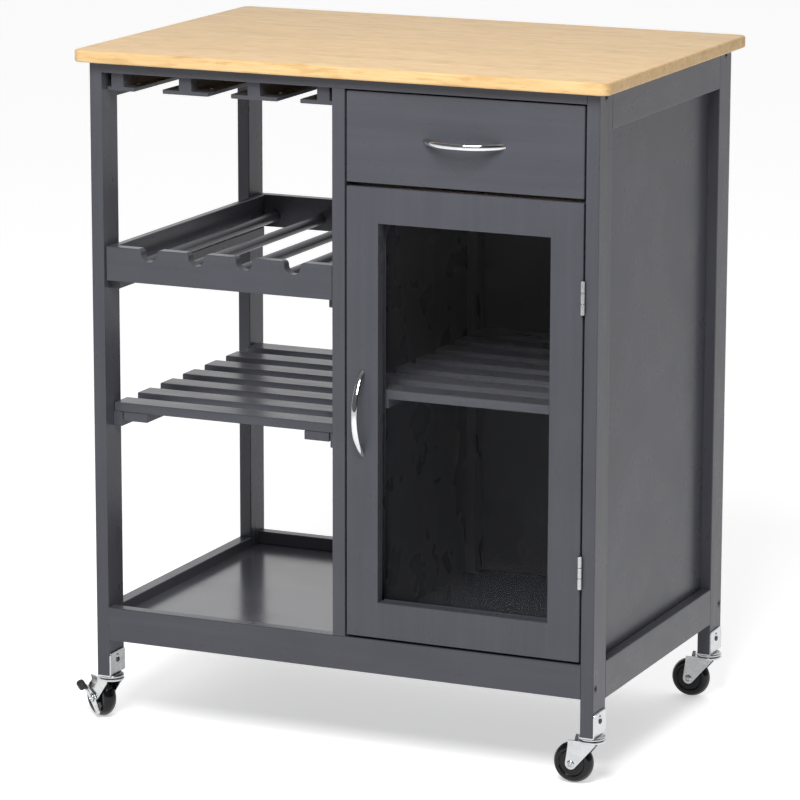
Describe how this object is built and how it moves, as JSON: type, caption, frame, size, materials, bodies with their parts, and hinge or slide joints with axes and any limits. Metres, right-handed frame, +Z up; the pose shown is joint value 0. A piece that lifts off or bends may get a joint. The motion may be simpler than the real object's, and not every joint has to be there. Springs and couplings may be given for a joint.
{
  "type": "kitchen island cart",
  "caption": "Rolling kitchen cart with a wooden top, stemware and bottle racks, open slatted shelf and tray on the left, and a drawer over a glass-door cabinet on the right.",
  "frame": {"origin": "on the floor, under the middle of the body (half way between the outer faces of the legs in X and in Y)", "axes": "+Z up; -Y is the front with the drawer and the door; +X is to the right of someone who faces the front"},
  "size_m": [0.7206, 0.4815, 0.843],
  "materials": {
    "natural_wood": "satin lacquer over light finger-jointed wood",
    "painted_wood": "dark grey satin lacquer",
    "painted_panel": "dark grey gloss lacquer on fibreboard",
    "plain_wood": "unfinished pale wood",
    "clear_glass": "clear float glass",
    "chrome": "polished chrome plate",
    "zinc_steel": "bright zinc-plated pressed steel",
    "black_wheel": "hard glossy black",
    "catch_plastic": "matt moulded plastic"
  },
  "bodies": {
    "cart": {"back_panel": "painted_panel", "bottle_rack_dowels": "painted_wood", "bottle_rack_front_board": "painted_wood", "bottle_rack_rear_board": "painted_wood", "bottle_rack_sides": "painted_wood", "bottom_panel": "painted_panel", "cabinet_shelf_slats": "painted_wood", "caster_bracket_screws": "zinc_steel", "caster_brackets": "zinc_steel", "divider_panel": "painted_panel", "drawer_runners": "plain_wood", "frame_bolts": "zinc_steel", "front_bottom_rail": "painted_wood", "front_divider_post": "painted_wood", "front_left_leg": "painted_wood", "front_right_leg": "painted_wood", "front_top_rail": "painted_wood", "hinge_frame_leaves": "chrome", "hinge_pins": "chrome", "left_bottom_rail": "painted_wood", "left_top_rail": "painted_wood", "magnetic_catch": "catch_plastic", "open_shelf_slats": "painted_wood", "rear_bottom_rail": "painted_wood", "rear_divider_post": "painted_wood", "rear_left_leg": "painted_wood", "rear_right_leg": "painted_wood", "rear_top_rail": "painted_wood", "right_bottom_rail": "painted_wood", "right_side_panel": "painted_panel", "right_top_rail": "painted_wood", "shelf_battens": "painted_wood", "shelf_cleats": "painted_wood", "stemware_rails": "painted_wood", "worktop": "natural_wood"},
    "drawer": {"drawer_front": "painted_wood", "drawer_left_side": "plain_wood", "drawer_right_side": "plain_wood", "drawer_back": "plain_wood", "drawer_bottom": "plain_wood", "drawer_handle": "chrome", "drawer_handle_screws": "zinc_steel"},
    "door": {"door_stiles": "painted_wood", "door_rails": "painted_wood", "door_glass": "clear_glass", "door_glass_beads": "painted_wood", "door_handle": "chrome", "door_handle_screws": "zinc_steel", "door_strike_plate": "zinc_steel", "hinge_door_leaves": "chrome"},
    "front_left_swivel": {"front_left_caster_fork": "zinc_steel"},
    "front_left_wheel": {"front_left_caster_wheel": "black_wheel"},
    "front_left_brake": {"front_left_brake_lever": "zinc_steel"},
    "front_right_swivel": {"front_right_caster_fork": "zinc_steel"},
    "front_right_wheel": {"front_right_caster_wheel": "black_wheel"},
    "rear_left_swivel": {"rear_left_caster_fork": "zinc_steel"},
    "rear_left_wheel": {"rear_left_caster_wheel": "black_wheel"},
    "rear_left_brake": {"rear_left_brake_lever": "zinc_steel"},
    "rear_right_swivel": {"rear_right_caster_fork": "zinc_steel"},
    "rear_right_wheel": {"rear_right_caster_wheel": "black_wheel"}
  },
  "joints": [
    {"name": "drawer_slide", "type": "slide", "parent": "cart", "child": "drawer", "axis": [0, -1, 0], "range_m": [0, 0.28]},
    {"name": "door_hinge", "type": "hinge", "parent": "cart", "child": "door", "pos_m": [0.3124, -0.2231, 0.4267], "axis": [0, 0, 1], "range_deg": [0, 170]},
    {"name": "front_left_swivel_turn", "type": "hinge", "parent": "cart", "child": "front_left_swivel", "pos_m": [-0.32175, -0.2, 0.056], "axis": [0, 0, 1], "continuous": true},
    {"name": "front_left_wheel_roll", "type": "hinge", "parent": "front_left_swivel", "child": "front_left_wheel", "pos_m": [-0.34167, -0.1885, 0.025], "axis": [-0.5, -0.866, 0], "continuous": true},
    {"name": "front_left_brake_press", "type": "hinge", "parent": "front_left_swivel", "child": "front_left_brake", "pos_m": [-0.34167, -0.1885, 0.025], "axis": [-0.5, -0.866, 0], "range_deg": [0, 20]},
    {"name": "front_right_swivel_turn", "type": "hinge", "parent": "cart", "child": "front_right_swivel", "pos_m": [0.32175, -0.2, 0.056], "axis": [0, 0, 1], "continuous": true},
    {"name": "front_right_wheel_roll", "type": "hinge", "parent": "front_right_swivel", "child": "front_right_wheel", "pos_m": [0.29875, -0.2, 0.025], "axis": [0, -1, 0], "continuous": true},
    {"name": "rear_left_swivel_turn", "type": "hinge", "parent": "cart", "child": "rear_left_swivel", "pos_m": [-0.32175, 0.2, 0.056], "axis": [0, 0, 1], "continuous": true},
    {"name": "rear_left_wheel_roll", "type": "hinge", "parent": "rear_left_swivel", "child": "rear_left_wheel", "pos_m": [-0.34475, 0.2, 0.025], "axis": [0, -1, 0], "continuous": true},
    {"name": "rear_left_brake_press", "type": "hinge", "parent": "rear_left_swivel", "child": "rear_left_brake", "pos_m": [-0.34475, 0.2, 0.025], "axis": [0, -1, 0], "range_deg": [0, 20]},
    {"name": "rear_right_swivel_turn", "type": "hinge", "parent": "cart", "child": "rear_right_swivel", "pos_m": [0.32175, 0.2, 0.056], "axis": [0, 0, 1], "continuous": true},
    {"name": "rear_right_wheel_roll", "type": "hinge", "parent": "rear_right_swivel", "child": "rear_right_wheel", "pos_m": [0.29875, 0.2, 0.025], "axis": [0, -1, 0], "continuous": true}
  ]
}
